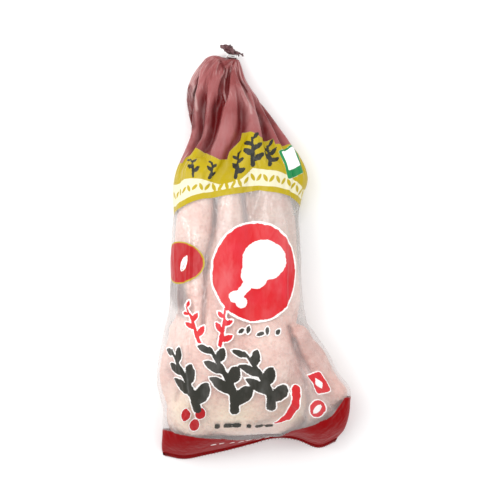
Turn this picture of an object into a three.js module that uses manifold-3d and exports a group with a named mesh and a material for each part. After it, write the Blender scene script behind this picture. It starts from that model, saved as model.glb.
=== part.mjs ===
// A raw whole chicken in a printed plastic bag, lying on its back with the printed side up.
//
// The bag is a tube of thin film. Its flat seal is at the -Y end, the bird lies breast up in the
// middle, and the empty end of the tube is gathered towards +Y, held by a crimped metal clip, and
// ends in a short crumpled tail. The filled bag is one solid: a stack of closed rings that run
// round the bag, from the seal to the tip of the tail. Each ring starts as a low, flat-bottomed
// oval from the bag's outline, is pushed out wherever the bird presses on the film, and is
// creased where the slack film folds.
//
// Millimetres, +X to the right, +Y from the seal to the tail, +Z up. The floor is z = 0.
import * as THREE from "three";
import Module from "manifold-3d";
import { mergeVertices } from "three/addons/utils/BufferGeometryUtils.js";

const wasm = await Module();
wasm.setup();
const V = (x, y, z) => new THREE.Vector3(x, y, z);

// ---------------------------------------------------------------- driving dimensions

const POINTS_ROUND = 84; // points in each ring
const RINGS_ON_BODY = 1.7; // rings between two rows of the outline, where the bag is full
const RINGS_ON_FOLDS = 2.7; // and where the empty film folds
const RINGS_ON_TAIL = 8; // and from the clip to the tip of the tail
const FILM_GAP = 1.5; // the film stands this far off the bird's skin
const SINK = 0.16; // share of a ring's height that the floor flattens
const WIDEST_AT = 0.44; // a ring is widest at this share of its height
const TENSION = 0.5; // how far a point of the film moves towards its neighbours in one pass

// The bag's outline, from the seal to the gathered neck: y, left edge, right edge, crest height.
const OUTLINE = [
  [-214, -102, 90, 2.4],
  [-209, -103, 93, 18],
  [-203, -103, 97, 40],
  [-194, -102, 100, 61],
  [-180, -101, 103, 78],
  [-162, -100, 104, 88],
  [-142, -100, 96, 93],
  [-118, -100, 77, 95],
  [-90, -98, 61, 94],
  [-56, -93, 53, 88],
  [-18, -90, 50, 83],
  [20, -89, 48, 78],
  [44, -89, 48, 76],
  [62, -90, 52, 75],
  [79, -89, 58, 73],
  [96, -84, 54, 71],
  [111, -77, 46, 66],
  [129, -71, 34, 61],
  [146, -72, 21, 57],
  [164, -75, 8, 53],
  [181, -74, -5, 48],
  [194, -69, -12, 42],
  [203, -59, -14.5, 36],
  [208, -49, -15.5, 31],
  [212.5, -38, -17.5, 25],
];

// The seal is a curved edge: how far it lies before or behind its own row, at evenly spaced
// places from the left end, and over how many rows of the outline the curve fades out.
const SEAL = { left: -104, spacing: 25, bow: [-10, -14.5, -10, -4.5, 2, 8.5, 7, -2, 8], rows: 6 };

// The left shoulder bulges forward beside the neck: how far, between which places across the bag
// it rises and falls, and between which places along the bag it grows.
const SHOULDER = { reach: 10, rise: [-76, -58], fall: [-34, -43], grow: [165, 205] };

const FOLDS_FROM = 13; // the row of the outline where the folded, empty film begins

// The neck, where the clip grips the film, and the tail beyond it.
const NECK = { x: -25, y: 217, z: 17, radius: 4.2 };
const CLIP = { inner: 4.75, wall: 1.5, width: 4.2, earLength: 7 };
const TAIL = { length: 8, width: 9.8, height: 7, lobes: 5, lean: 0.5, ruffle: 2.2, tilt: 7 };

// The bird's long axis, and the heights that its body is built from.
const BIRD_X = -21;
const SOFTNESS = 14; // how widely the film bridges between two parts of the bird

// ---------------------------------------------------------------- small helpers

const clamp = (v, low, high) => Math.min(high, Math.max(low, v));
const smooth = (a, b, v) => {
  const t = clamp((v - a) / (b - a), 0, 1);
  return t * t * (3 - 2 * t);
};

// A smooth curve through evenly spaced values, read at position t.
function through(values, t) {
  const i = clamp(Math.floor(t), 0, values.length - 2);
  const at = (k) => values[clamp(k, 0, values.length - 1)];
  const f = clamp(t, 0, values.length - 1) - i;
  const [a, b, c, d] = [at(i - 1), at(i), at(i + 1), at(i + 2)];
  return b + 0.5 * f * (c - a + f * (2 * a - 5 * b + 4 * c - d + f * (3 * (b - c) + d - a)));
}

// ---------------------------------------------------------------- the bird, as distance functions

// A stretched ball: its centre and its three radii.
const ball = (x, y, z, rx, ry, rz) => (p) => {
  const [u, v, w] = [(p.x - x) / rx, (p.y - y) / ry, (p.z - z) / rz];
  const k0 = Math.hypot(u, v, w);
  const k1 = Math.hypot(u / rx, v / ry, w / rz);
  return k1 < 1e-9 ? -Math.min(rx, ry, rz) : (k0 * (k0 - 1)) / k1;
};

// A limb: a rounded bar that tapers from radius r0 at a to radius r1 at b.
const limb = (a, b, r0, r1) => {
  const axis = b.clone().sub(a);
  const length2 = axis.lengthSq();
  const q = V();
  return (p) => {
    q.copy(p).sub(a);
    const t = clamp(q.dot(axis) / length2, 0, 1);
    return q.addScaledVector(axis, -t).length() - (r0 + (r1 - r0) * t);
  };
};

function torso() {
  return [
    ball(BIRD_X, -62, 44, 60, 112, 42), // ribs and back
    ball(BIRD_X, -120, 46, 73, 78, 43), // breast
    ball(BIRD_X - 29, -112, 58, 39, 66, 36), // left breast muscle
    ball(BIRD_X + 29, -112, 58, 39, 66, 36), // right breast muscle
    limb(V(BIRD_X, -158, 70), V(BIRD_X - 1, -56, 76), 16, 11), // keel of the breastbone
    ball(BIRD_X - 4, 20, 46, 26, 76, 31), // belly
    limb(V(BIRD_X - 4, 66, 50), V(BIRD_X - 5, 92, 40), 18, 10), // tail
    limb(V(BIRD_X - 28, -172, 34), V(BIRD_X + 28, -166, 34), 28, 28), // stump of the neck
    ball(BIRD_X - 44, -162, 36, 30, 42, 30), // loose skin beside the neck, on the left
    ball(BIRD_X - 56, -178, 26, 20, 26, 20),
    ball(BIRD_X + 46, -156, 36, 30, 40, 30), // and on the right, out to the corner of the bag
    ball(BIRD_X + 82, -160, 34, 28, 32, 28),
    ball(BIRD_X + 98, -166, 28, 24, 22, 21),
  ];
}

function leg(side) {
  const knee = V(BIRD_X + side * 41, -6, 48);
  const hock = V(BIRD_X + side * 36, 84, 47);
  const knuckle = hock.clone().add(V(0, 10, -8));
  return [
    ball(BIRD_X + side * 42, -44, 44, 28, 58, 36), // thigh
    limb(knee, hock, 26, 20), // drumstick
    ball(BIRD_X + side * 40, 22, 49, 25, 48, 26), // its calf
    limb(hock, knuckle, 16, 11), // knuckle
  ];
}

// The right wing stands away from the body, and the left wing lies close along it.
function wing({ shoulder, elbow, wrist, tip }) {
  const web = shoulder.clone().add(elbow).add(wrist).divideScalar(3);
  return [
    limb(shoulder, elbow, 17, 13),
    limb(elbow, wrist, 12.5, 11.5),
    limb(wrist, tip, 11, 7),
    ball(web.x, web.y, web.z, 25, 42, 12), // skin between the two bones
  ];
}
const RIGHT_WING = {
  shoulder: V(38, -166, 52),
  elbow: V(46, -92, 57),
  wrist: V(88, -153, 45),
  tip: V(58, -172, 46),
};
const LEFT_WING = {
  shoulder: V(-74, -166, 42),
  elbow: V(-80, -86, 42),
  wrist: V(-84, -142, 36),
  tip: V(-68, -170, 50),
};

const BIRD = [...torso(), ...leg(-1), ...leg(1), ...wing(RIGHT_WING), ...wing(LEFT_WING)];

// The distance from a point to the bird's skin, with its parts blended by SOFTNESS.
function birdDistance(p) {
  let d = Infinity;
  for (const part of BIRD) {
    const e = part(p);
    const h = Math.max(SOFTNESS - Math.abs(d - e), 0) / SOFTNESS;
    d = Math.min(d, e) - (h * h * SOFTNESS) / 4;
  }
  return d;
}

const STEP = 0.5;
function birdSlope(p) {
  const at = (x, y, z) => birdDistance(V(p.x + x, p.y + y, p.z + z));
  return V(
    at(STEP, 0, 0) - at(-STEP, 0, 0),
    at(0, STEP, 0) - at(0, -STEP, 0),
    at(0, 0, STEP) - at(0, 0, -STEP),
  ).normalize();
}

// ---------------------------------------------------------------- folds in the slack film

// The film turns about its length as it is gathered, so folds swing round towards the clip.
// A place round the bag is named by its angle on the full part: 90 degrees is the middle of the
// printed side, and 0 is the right edge.
const TURN = { degrees: 47, from: 105, to: 195 };
const turnAt = (y) => -TURN.degrees * smooth(TURN.from, TURN.to, y);

// A crease runs along the bag at one place round it, with a width in degrees and a depth.
const crease = (place, from, to, width, depth) => ({ place, from, to, width, depth });
const CREASES = [
  crease(157, 96, 186, 7, 12),
  crease(133, 90, 182, 7, 12),
  crease(192, 118, 200, 11, 12),
  crease(98, 76, 172, 7, 8),
  crease(78, 158, 202, 6, 6),
  crease(61, 86, 176, 7, 9),
  crease(36, 90, 190, 7, 7),
  crease(12, 110, 200, 7, 6),
  crease(222, 100, 200, 12, 6),
  crease(262, 90, 205, 12, 6),
  crease(310, 96, 200, 12, 6),
];

function creaseDepth(place, y) {
  let depth = 0;
  for (const c of CREASES) {
    const share = (y - c.from) / (c.to - c.from);
    const fade = smooth(0, 0.4, share) * smooth(1, 0.75, share);
    const away = ((((place - c.place + 180) % 360) + 360) % 360) - 180;
    depth += c.depth * fade * Math.exp(-((away / c.width) ** 2));
  }
  return depth;
}

// Gathers run out of the clip, close together at the neck and fading down the bag.
const GATHERS = 9;
function gather(place, y) {
  const close = smooth(150, 200, y) * smooth(NECK.y, NECK.y - 6, y);
  const a = THREE.MathUtils.degToRad(place);
  const uneven = 0.8 * Math.sin(2 * a + 0.7) + 1.1 * Math.sin(3 * a + 2.1);
  return 0.1 * close * Math.sin(GATHERS * a + uneven);
}

// ---------------------------------------------------------------- rings of the filled bag

const ring = (point) =>
  Array.from({ length: POINTS_ROUND }, (_, k) => point((360 * k) / POINTS_ROUND));

// A power of a sine or cosine that keeps its sign, for ovals with squarer or rounder ends.
const bulge = (v, power) => Math.sign(v) * Math.abs(v) ** power;

const LAST_ROW = OUTLINE.length - 1;
const [ROW_Y, LEFT, RIGHT, CREST] = [0, 1, 2, 3].map((column) => OUTLINE.map((row) => row[column]));

// How far the film bulges forward beside the neck, at a place across the bag and along it.
const shoulder = (x, y) =>
  SHOULDER.reach * smooth(...SHOULDER.rise, x) * smooth(...SHOULDER.fall, x) * smooth(...SHOULDER.grow, y);

// The height of the neck's own axis, which comes down to the clip from the middle of the bag.
const axisHeight = (t) => {
  const free = WIDEST_AT * through(CREST, t);
  return free + (NECK.z - free) * smooth(LAST_ROW - 3, LAST_ROW, t);
};

function bodyRing(t) {
  const [y, left, right, crest] = [ROW_Y, LEFT, RIGHT, CREST].map((values) => through(values, t));
  const [middle, half] = [(left + right) / 2, (right - left) / 2];
  const height = axisHeight(t);
  const axis = V(middle, y, height);
  return ring((place) => {
    const angle = THREE.MathUtils.degToRad(place + turnAt(y));
    const [c, s] = [Math.cos(angle), Math.sin(angle)];
    const ruffle = 1 + gather(place, y);
    const up = s > 0 ? crest - height : height + SINK * crest;
    const p = V(
      middle + half * bulge(c, s > 0 ? 0.94 : 0.72) * ruffle,
      y,
      height + up * bulge(s, s > 0 ? 1 : 0.72) * ruffle,
    );
    p.y += through(SEAL.bow, (p.x - SEAL.left) / SEAL.spacing) * (1 - smooth(0, SEAL.rows, t));
    p.y += shoulder(p.x, y);
    return drape(p, axis, creaseDepth(place, y));
  });
}

// Pushes a point of the film out of the bird, folds it in by a depth, and lays it on the floor.
function drape(p, axis, depth) {
  for (let pass = 0; pass < 6; pass++) {
    const d = birdDistance(p) - FILM_GAP;
    if (d >= 0) break;
    const out = birdSlope(p);
    out.y = 0; // each ring stays in its own plane, so that rings never cross
    p.addScaledVector(out.normalize(), -d);
  }
  const inwards = V(axis.x - p.x, 0, axis.z - p.z);
  const reach = inwards.length();
  p.addScaledVector(inwards, Math.min(depth / reach, 0.4));
  p.z = Math.max(p.z, 0);
  return p;
}

// An oval ring of the neck or tail, at a distance beyond the middle of the clip.
const GRIP = CLIP.width / 2 + 0.5;
function tailRing(beyond) {
  const share = clamp((beyond - GRIP) / (TAIL.length - GRIP), 0, 1);
  const open = Math.sqrt(smooth(0, 0.75, share));
  return ring((place) => {
    const angle = THREE.MathUtils.degToRad(place - TURN.degrees);
    const r = 1 + 0.3 * open * Math.sin(TAIL.lobes * angle + 0.9);
    const x = (NECK.radius + (TAIL.width - NECK.radius) * open) * Math.cos(angle) * r;
    const z = (NECK.radius + (TAIL.height - NECK.radius) * open) * Math.sin(angle) * r;
    const lift = TAIL.tilt * share - 0.25 * Math.abs(x) * share;
    const forward = TAIL.ruffle * Math.sin(3 * angle + 1) - TAIL.lean * x;
    return V(NECK.x + x, NECK.y + beyond + forward * share, NECK.z + z + lift);
  });
}

// The film's own tension evens out its surface: each point moves towards its four neighbours.
function tighten(rings) {
  const even = (r, k) => {
    const n = POINTS_ROUND;
    const sides = [rings[r][(k + 1) % n], rings[r][(k + n - 1) % n], rings[r - 1][k], rings[r + 1][k]];
    const mean = sides.reduce((sum, p) => sum.add(p), V()).divideScalar(sides.length);
    return mean.lerp(rings[r][k], 1 - TENSION);
  };
  return rings.map((points, r) =>
    r === 0 || r === rings.length - 1 ? points : points.map((_, k) => even(r, k)),
  );
}

// Each ring is a list of points. The seal closes flat, from its upper to its lower edge, and the
// tail closes on the middle of its last ring.
function skin(rings) {
  const points = rings.flat();
  const triangles = [];
  const n = POINTS_ROUND;
  for (let r = 0; r + 1 < rings.length; r++)
    for (let k = 0; k < n; k++) {
      const [a, b] = [r * n + k, r * n + ((k + 1) % n)];
      triangles.push(a, b + n, b, a, a + n, b + n);
    }
  for (let k = 0; k < n / 2; k++) {
    const [a, b, c, d] = [k, k + 1, n - k - 1, (n - k) % n];
    if (b !== c) triangles.push(a, b, c);
    if (a !== d) triangles.push(a, c, d);
  }
  const last = points.length - n;
  points.push(points.slice(last).reduce((sum, p) => sum.add(p), V()).divideScalar(n));
  for (let k = 0; k < n; k++) triangles.push(last + n, last + ((k + 1) % n), last + k);
  const geometry = new THREE.BufferGeometry().setFromPoints(points);
  geometry.setIndex(triangles);
  geometry.computeVertexNormals();
  return geometry;
}

function filledBag() {
  const rings = [];
  let t = 0;
  while (t < LAST_ROW) {
    rings.push(bodyRing(t));
    t += 1 / (t < FOLDS_FROM ? RINGS_ON_BODY : RINGS_ON_FOLDS);
  }
  rings.push(bodyRing(LAST_ROW));
  for (let pass = 0; pass < 2; pass++) rings.splice(0, rings.length, ...tighten(rings));
  rings.push(tailRing(-GRIP));
  for (let k = 0; k < RINGS_ON_TAIL; k++)
    rings.push(tailRing(GRIP + ((TAIL.length - GRIP) * k) / (RINGS_ON_TAIL - 1)));
  return skin(rings);
}

// ---------------------------------------------------------------- the clip

function toSolid(geometry) {
  const bare = new THREE.BufferGeometry();
  bare.setAttribute("position", geometry.getAttribute("position"));
  if (geometry.index) bare.setIndex(geometry.index);
  const merged = mergeVertices(bare, 1e-4);
  return new wasm.Manifold(
    new wasm.Mesh({
      numProp: 3,
      vertProperties: new Float32Array(merged.attributes.position.array),
      triVerts: new Uint32Array(merged.index.array),
    }),
  );
}

function toGeometry(solid) {
  const { vertProperties, triVerts } = solid.getMesh();
  const geometry = new THREE.BufferGeometry();
  geometry.setAttribute("position", new THREE.BufferAttribute(vertProperties, 3));
  geometry.setIndex(new THREE.BufferAttribute(triVerts, 1));
  geometry.computeVertexNormals();
  return geometry;
}

// A band of rounded section that goes round the neck, with its two crimped ends side by side.
function crimpedClip() {
  const [mid, half] = [CLIP.inner + CLIP.wall / 2, CLIP.width / 2];
  const sides = 12;
  const profile = Array.from({ length: sides + 1 }, (_, k) => {
    const a = (2 * Math.PI * k) / sides;
    return new THREE.Vector2(
      mid + (CLIP.wall / 2) * bulge(Math.cos(a), 0.6),
      half * bulge(Math.sin(a), 0.6),
    );
  });
  const band = new THREE.LatheGeometry(profile, 28);
  const ear = (side) =>
    new THREE.CapsuleGeometry(CLIP.wall * 0.72, CLIP.earLength, 3, 8)
      .rotateZ(Math.PI / 2 + side * 0.16)
      .translate(side * 1.1, side * 1.05, mid + 0.55);
  const joined = toSolid(band).add(toSolid(ear(1))).add(toSolid(ear(-1)));
  return toGeometry(joined);
}

// ---------------------------------------------------------------- assembly

const film = new THREE.MeshStandardMaterial({ color: 0x964b4d, roughness: 0.3, metalness: 0 });
const metal = new THREE.MeshStandardMaterial({ color: 0xb9b6b4, roughness: 0.35, metalness: 1 });

const bag = new THREE.Mesh(filledBag(), film);
bag.name = "filled_bag";

const clip = new THREE.Mesh(crimpedClip(), metal);
clip.name = "neck_clip";
clip.position.set(NECK.x, NECK.y, NECK.z);

// The group's origin is under the middle of the whole, on the floor.
const part = new THREE.Group();
part.add(bag, clip);
const extent = new THREE.Box3().setFromObject(part);
const centre = extent.getCenter(V());
part.position.set(-centre.x, -centre.y, 0);

export default part;
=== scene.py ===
# %% [markdown]
# # A raw whole chicken in a printed film bag
# The real object is a tube of thin, glossy film with a dressed bird inside. One end is welded
# flat, the other is gathered and held by a small metal clip. Where the film is bare the skin
# shows through it, and where it is printed it hides what is behind. So the scene needs two
# things that the solid can't give: a clear film with folds, and a bird under it.
#
# Everything is made in millimetres in the CAD model's own drawing, as numpy arrays, and moved
# into Blender's metres in one place.

import math

import bpy
import numpy as np
import openvdb as vdb
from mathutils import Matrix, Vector


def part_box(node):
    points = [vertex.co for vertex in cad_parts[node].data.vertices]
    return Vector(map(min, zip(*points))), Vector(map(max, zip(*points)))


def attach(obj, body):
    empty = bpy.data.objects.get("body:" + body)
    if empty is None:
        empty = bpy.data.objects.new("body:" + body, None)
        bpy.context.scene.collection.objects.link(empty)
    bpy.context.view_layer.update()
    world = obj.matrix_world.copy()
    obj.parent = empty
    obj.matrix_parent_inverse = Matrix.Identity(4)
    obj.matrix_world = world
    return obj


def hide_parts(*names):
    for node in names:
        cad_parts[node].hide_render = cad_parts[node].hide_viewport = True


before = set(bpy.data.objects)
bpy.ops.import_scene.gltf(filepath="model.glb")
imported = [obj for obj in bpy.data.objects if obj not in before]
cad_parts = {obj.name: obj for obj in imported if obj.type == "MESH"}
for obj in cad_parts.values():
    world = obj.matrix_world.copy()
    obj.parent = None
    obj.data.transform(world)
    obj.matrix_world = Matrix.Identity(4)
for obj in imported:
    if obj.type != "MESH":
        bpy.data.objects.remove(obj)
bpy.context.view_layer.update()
MM = 0.001

# %% [markdown]
# ## Where the drawing lies
# The CAD model is drawn round its own axes, and is then moved so that its origin is under its
# middle. The clip sits at a known place in the drawing, so its box tells how far everything moved.

# %% The move from drawing to frame
# the middle of the gathered neck, where the clip holds it, and the neck's radius there
NECK = {"x": -25.0, "y": 217.0, "z": 17.0, "radius": 4.2}
clip_low, clip_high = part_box("neck_clip")
clip_middle = (clip_low + clip_high) / 2
MOVE = np.array([clip_middle.x / MM - NECK["x"], clip_middle.y / MM - NECK["y"], 0.0])
print("drawing moves by mm:", MOVE.round(2))


def in_frame(points):
    """Points of the drawing, in millimetres, as metres in the frame."""
    return (np.asarray(points, float) + MOVE) * MM


def mesh_piece(name, points, faces, smooth_shading=True):
    """A Blender object whose place is in its mesh."""
    mesh = bpy.data.meshes.new(name)
    mesh.from_pydata(in_frame(points).tolist(), [], [list(map(int, f)) for f in faces])
    mesh.update()
    mesh.polygons.foreach_set("use_smooth", np.full(len(mesh.polygons), smooth_shading))
    piece = bpy.data.objects.new(name, mesh)
    bpy.context.scene.collection.objects.link(piece)
    return piece


# %% [markdown]
# ## Camera, floor and light
# The bag was photographed from its printed side. Here it lies on its back, so the camera looks
# straight down, with the clip at the top of the picture. A long lens keeps the sides parallel.
# A white floor in a bright white world gives the pale ground. A large lamp at the upper left is
# a little stronger than the one at the right, so the one shadow is soft and falls to the right.
# Long, narrow lamps make the glints that thin film shows.

# %% Camera
PICTURE_WIDTH = 550.0  # mm of the drawing, across the picture at the height of AIM
AIM = np.array([-5.5, 3.3, 25.0])
LENS = 180.0
SENSOR = 36.0

camera_data = bpy.data.cameras.new("camera")
camera_data.lens, camera_data.sensor_width = LENS, SENSOR
camera = bpy.data.objects.new("camera", camera_data)
distance = PICTURE_WIDTH * LENS / SENSOR
camera.location = in_frame(AIM + [0, 0, distance])
bpy.context.scene.collection.objects.link(camera)
bpy.context.scene.camera = camera
print("camera height in mm:", round(camera.location.z / MM))

# %% Floor, lamps and picture
FLOOR_SIZE = 12000.0


def plain_material(name, colour, roughness):
    material = bpy.data.materials.new(name)
    material.use_nodes = True
    shader = material.node_tree.nodes["Principled BSDF"]
    shader.inputs["Base Color"].default_value = (*colour, 1)
    shader.inputs["Roughness"].default_value = roughness
    return material


def lamp(name, place, size, watts, aim=(0, 0, 30)):
    """A white lamp at a place of the drawing, with its two sides in millimetres."""
    data = bpy.data.lights.new(name, "AREA")
    data.shape, data.size, data.size_y = "RECTANGLE", size[0] * MM, size[1] * MM
    data.energy = watts
    light = bpy.data.objects.new(name, data)
    light.location = in_frame(place)
    aim_at = Vector(in_frame(aim)) - light.location
    light.rotation_mode = "QUATERNION"
    light.rotation_quaternion = aim_at.to_track_quat("-Z", "Y")
    bpy.context.scene.collection.objects.link(light)


half = FLOOR_SIZE / 2
floor = mesh_piece(
    "floor", [(-half, -half, 0), (half, -half, 0), (half, half, 0), (-half, half, 0)], [(0, 1, 2, 3)]
)
floor.data.materials.append(plain_material("white_floor", (0.96, 0.96, 0.96), 0.8))

lamp("key", (-430, 330, 1230), (640, 640), 3.4)
lamp("fill", (850, 350, 950), (900, 900), 2.8)
lamp("glint_left", (-420, 120, 700), (30, 360), 1.0)
lamp("glint_top", (120, 520, 720), (260, 30), 0.9)
lamp("rim_left", (-620, 160, 260), (50, 460), 0.9, (-60, 120, 50))

world = bpy.data.worlds.new("studio")
world.use_nodes = True
world.node_tree.nodes["Background"].inputs["Color"].default_value = (1, 1, 1, 1)
world.node_tree.nodes["Background"].inputs["Strength"].default_value = 0.89
bpy.context.scene.world = world
bpy.context.scene.view_settings.view_transform = "Standard"

# %% [markdown]
# ## Small helpers
# Every form below is worked out from a few numbers by two functions: a soft step, and a smooth
# curve through evenly spaced values.

# %% Helpers for curves and directions
FAR = 999.0  # mm, further than anything in the drawing


def smooth(a, b, v):
    """A soft step from 0 at a to 1 at b."""
    t = np.clip((np.asarray(v, float) - a) / (b - a), 0, 1)
    return t * t * (3 - 2 * t)


def between(a, b, c, d, f):
    """A smooth curve through four evenly spaced values, at share f of the way from b to c."""
    return b + 0.5 * f * (c - a + f * (2 * a - 5 * b + 4 * c - d + f * (3 * (b - c) + d - a)))


def through(values, t):
    """A smooth curve through evenly spaced values, read at position t."""
    values = np.asarray(values, float)
    t = np.clip(t, 0, len(values) - 1)
    i = np.clip(np.floor(t).astype(int), 0, len(values) - 2)
    near = (values[np.clip(i + k, 0, len(values) - 1)] for k in (-1, 0, 1, 2))
    return between(*near, t - i)


def unit(vectors):
    """The same directions with a length of one."""
    return vectors / np.maximum(np.linalg.norm(vectors, axis=-1, keepdims=True), 1e-9)


# %% [markdown]
# ## The bird
# A dressed bird has no straight line in it, and its parts run into each other under one skin.
# Box modelling would need many loops for that. Distance functions are quicker: each muscle is a
# stretched ball and each bone a tapered bar, a soft minimum blends them as skin does, and a
# volume of voxels turns the sum into one closed mesh. The bird lies on its back, with its neck
# end towards the weld and its legs towards the clip.

# %% Distance functions
BIRD_X = -21.0


def ball(x, y, z, rx, ry, rz):
    """The distance to a stretched ball, from its middle and its three radii."""
    centre, radii = np.array([x, y, z]), np.array([rx, ry, rz])

    def distance_to(p):
        u = (p - centre) / radii
        k0 = np.linalg.norm(u, axis=-1)
        k1 = np.linalg.norm(u / radii, axis=-1)
        return k0 * (k0 - 1) / np.maximum(k1, 1e-6)

    return distance_to


def limb(a, b, r0, r1):
    """The distance to a tapered bar, from its two ends and the radius at each."""
    a, b = np.array(a, float), np.array(b, float)

    def distance_to(p):
        t = np.clip((p - a) @ (b - a) / ((b - a) @ (b - a)), 0, 1)
        return np.linalg.norm(p - a - t[..., None] * (b - a), axis=-1) - (r0 + (r1 - r0) * t)

    return distance_to


def torso():
    x = BIRD_X
    return [
        ball(x, -62, 44, 60, 112, 42),  # the body, and its broad half
        ball(x, -120, 46, 73, 78, 43),
        ball(x - 29, -112, 58, 39, 66, 36),  # the two breast muscles
        ball(x + 29, -112, 58, 39, 66, 36),
        limb((x, -158, 70), (x - 1, -56, 76), 16, 11),  # the breastbone
        ball(x - 4, 20, 46, 26, 76, 31),  # the belly and the parson's nose
        limb((x - 4, 66, 50), (x - 5, 92, 40), 18, 10),
        limb((x - 26, -174, 31), (x + 56, -171, 29), 28, 26),  # loose skin at the neck end
        ball(x - 44, -162, 36, 30, 42, 30),
        ball(x - 56, -178, 26, 20, 26, 20),
        ball(x + 46, -156, 36, 30, 40, 30),
        ball(x + 82, -160, 34, 28, 32, 28),  # and under the right wing
        ball(x + 98, -166, 28, 24, 22, 21),
    ]


def leg(side):
    knee = np.array([BIRD_X + side * 41, -6, 48])
    hock = np.array([BIRD_X + side * 36, 84, 47])
    return [
        ball(BIRD_X + side * 42, -44, 44, 28, 58, 36),  # the thigh
        limb(knee, hock, 26, 20),  # the drumstick
        ball(BIRD_X + side * 40, 22, 49, 25, 48, 26),
        limb(hock, hock + [0, 10, -8], 16, 11),  # its cut end
    ]


def wing(shoulder, elbow, wrist, tip):
    web = np.mean([shoulder, elbow, wrist], axis=0)
    return [
        limb(shoulder, elbow, 17, 13),
        limb(elbow, wrist, 12.5, 11.5),
        limb(wrist, tip, 11, 7),
        ball(*web, 25, 42, 12),  # the skin between them
    ]


# shoulder, elbow, wrist and tip
RIGHT_WING = [(38, -166, 52), (46, -92, 57), (88, -153, 45), (58, -172, 46)]
LEFT_WING = [(-74, -166, 42), (-80, -86, 42), (-84, -142, 36), (-68, -170, 50)]
BIRD_PARTS = torso() + leg(-1) + leg(1) + wing(*RIGHT_WING) + wing(*LEFT_WING)
print("muscles and bones:", len(BIRD_PARTS))

# %% The bird's distance field
VOXEL = 2.0
SKIN_SOFTNESS = 6.0  # how widely skin bridges between two parts
FILM_SOFTNESS = 14.0  # and how widely the film does
FIELD_LOW = np.array([-112.0, -214.0, -10.0])
FIELD_HIGH = np.array([116.0, 136.0, 116.0])


def field_axes():
    return [np.arange(a, b, VOXEL) for a, b in zip(FIELD_LOW, FIELD_HIGH)]


def blended(distances, softness):
    """The least of several distances, rounded where two of them meet."""
    total = distances[0]
    for d in distances[1:]:
        h = np.maximum(softness - np.abs(total - d), 0) / softness
        total = np.minimum(total, d) - h * h * softness / 4
    return total


def away_from(route, points):
    """Distance from a route of x, y places, seen from above."""
    total = np.full(points.shape[:-1], FAR)
    for a, b in zip(np.array(route[:-1]), np.array(route[1:])):
        t = np.clip((points[..., :2] - a) @ (b - a) / ((b - a) @ (b - a)), 0, 1)
        total = np.minimum(total, np.linalg.norm(points[..., :2] - a - t[..., None] * (b - a), axis=-1))
    return total


# Folds in the skin: route seen from above, half width, depth.
FOLDS_IN_SKIN = [
    ([(-41, 84), (-43, 52), (-44, 33), (-47, 14), (-53, -6), (-54, -36), (-55, -57), (-56, -78)], 2.8, 6.5),
    ([(-16, 88), (-13, 59), (-11, 44), (-9, 25), (-5, 3)], 2.8, 6.5),
    ([(36, -80), (47, -114), (55, -140), (58, -162), (54, -186)], 3.0, 5.0),
    ([(43, -94), (50, -112), (60, -132), (67, -150)], 2.6, 5.0),
    ([(-92, -24), (-85, -42), (-80, -60)], 8.0, 14.0),
    ([(-94, -128), (-80, -144), (-86, -160)], 3.0, 4.0),
    ([(-70, -62), (-74, -96), (-70, -128)], 2.6, 2.5),
    ([(-30, -60), (-26, -96), (-24, -140)], 2.6, 1.2),
]


def fold_depth(points):
    """How far the skin is folded in, which fades out on the bird's underside."""
    depth = 0
    for route, width, deep in FOLDS_IN_SKIN:
        depth = depth + deep * np.exp(-((away_from(route, points) / width) ** 2))
    return depth * smooth(20, 50, points[..., 2])


voxels = np.stack(np.meshgrid(*field_axes(), indexing="ij"), axis=-1)
part_distances = [part(voxels) for part in BIRD_PARTS]
SKIN_FIELD = blended(part_distances, SKIN_SOFTNESS) + fold_depth(voxels)
WRAP_FIELD = blended(part_distances, FILM_SOFTNESS)
WRAP_SLOPE = [g.astype(np.float32) for g in np.gradient(WRAP_FIELD, VOXEL)]
print("voxels:", SKIN_FIELD.shape, "inside the bird:", int((SKIN_FIELD < 0).sum()))


def read_field(field, p):
    """Trilinear reading of a voxel field at points of the drawing."""
    q = (p - FIELD_LOW) / VOXEL
    q = np.clip(q, 0, np.array(field.shape) - 1.001)
    i = q.astype(int)
    f = q - i
    total = 0
    for dx in (0, 1):
        for dy in (0, 1):
            for dz in (0, 1):
                w = np.abs(1 - dx - f[..., 0]) * np.abs(1 - dy - f[..., 1]) * np.abs(1 - dz - f[..., 2])
                total = total + w * field[i[..., 0] + dx, i[..., 1] + dy, i[..., 2] + dz]
    return total


# %% Turn the field into a mesh
def bird_mesh():
    grid = vdb.FloatGrid()
    grid.copyFromArray(SKIN_FIELD.astype(np.float32))
    points, quads = grid.convertToQuads(isovalue=0.0)
    return np.asarray(points) * VOXEL + FIELD_LOW, np.asarray(quads)


bird_points, bird_quads = bird_mesh()
chicken = mesh_piece("chicken", bird_points, bird_quads)
print("chicken faces:", len(bird_quads))

# %% [markdown]
# ## The film: its shape before it folds
# The film starts as the tube that the bag's outline gives: a stack of rings, flat where it
# lies on the floor. Rows are spaced evenly along the film's upper side, so that every face is
# about as long as it is wide. This is the CAD solid's own rule, with a finer grid.

# %% The bag's outline
COLUMNS = 320
ROWS = 288
WIDEST_AT = 0.44  # height of the bag's widest line, as a share of its crest's
SINK = 0.16  # how far a ring would reach below the floor, which cuts it flat, likewise
ROUND_TOP, SQUARE_FOOT = 0.94, 0.72  # powers that shape a ring: less than 1 is squarer
FLOOR_GAP = 0.1
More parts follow.
